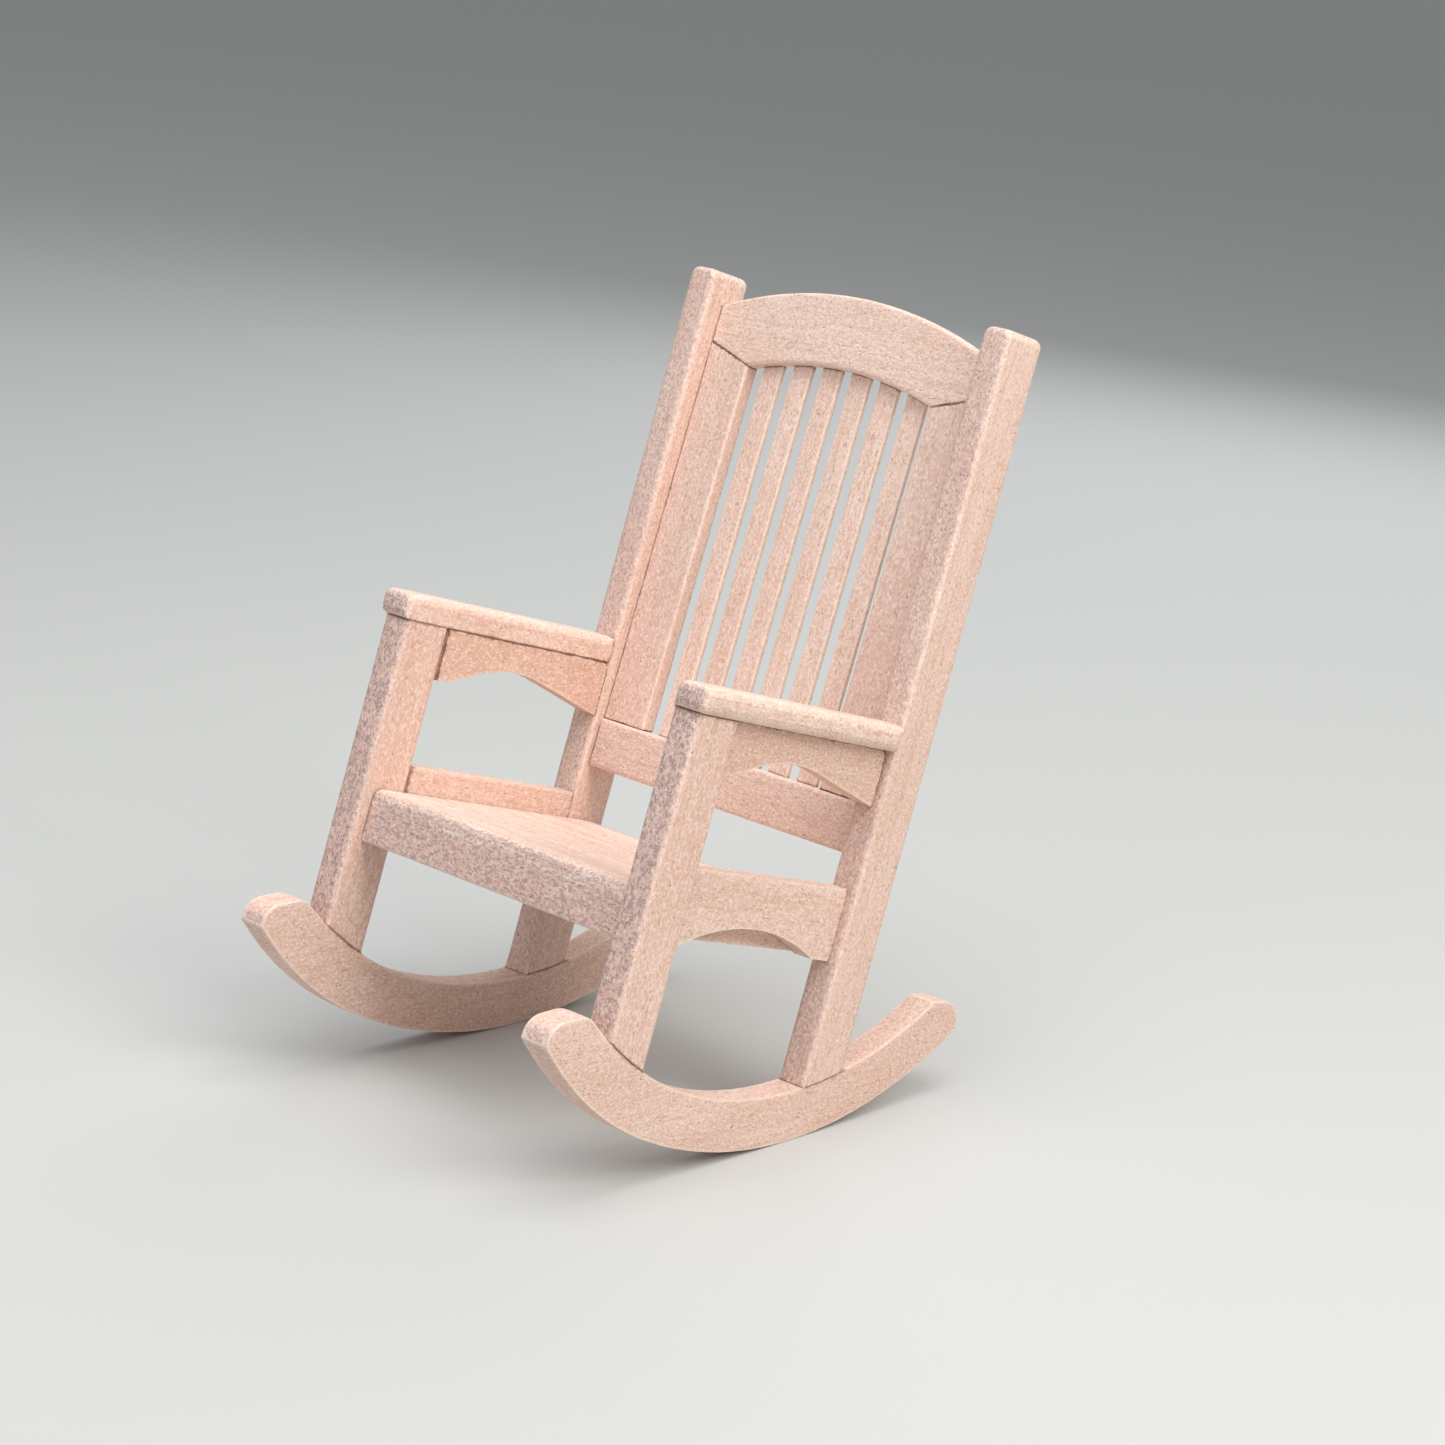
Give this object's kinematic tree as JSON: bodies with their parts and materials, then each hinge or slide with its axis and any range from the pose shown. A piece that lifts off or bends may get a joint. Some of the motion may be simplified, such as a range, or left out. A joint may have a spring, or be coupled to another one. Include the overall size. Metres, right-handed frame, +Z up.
{
  "type": "miniature rocking chair",
  "caption": "Dolls house rocking chair in bare wood: slatted back between tall posts, flat arms on arched aprons, boarded seat, curved rockers.",
  "frame": {"origin": "middle of the chair's outline on the floor, level with the bottom of the rockers", "axes": "+Z up, -Y the way the chair faces, +X the sitter's left"},
  "size_m": [0.0598, 0.0847, 0.1096],
  "materials": {
    "frame_wood": "bare, sanded",
    "arm_wood": "bare, sanded",
    "side_wood": "bare, sanded",
    "seat_wood": "bare, sanded",
    "back_wood": "bare, sanded"
  },
  "bodies": {
    "root": {"rocker_left": "frame_wood", "rocker_right": "frame_wood", "front_leg_left": "frame_wood", "front_leg_right": "frame_wood", "rear_post_left": "frame_wood", "rear_post_right": "frame_wood", "arm_left": "arm_wood", "arm_right": "arm_wood", "arm_apron_left": "side_wood", "arm_apron_right": "side_wood", "side_rail_left": "side_wood", "side_rail_right": "side_wood", "seat_cleat_left": "seat_wood", "seat_cleat_right": "seat_wood", "seat_front_rail": "seat_wood", "seat_board_1": "seat_wood", "seat_board_2": "seat_wood", "seat_board_3": "seat_wood", "seat_board_4": "seat_wood", "back_bottom_rail": "back_wood", "back_stile_left": "back_wood", "back_stile_right": "back_wood", "crest_rail": "back_wood", "back_slat_1": "back_wood", "back_slat_2": "back_wood", "back_slat_3": "back_wood", "back_slat_4": "back_wood", "back_slat_5": "back_wood", "back_slat_6": "back_wood"}
  },
  "joints": []
}
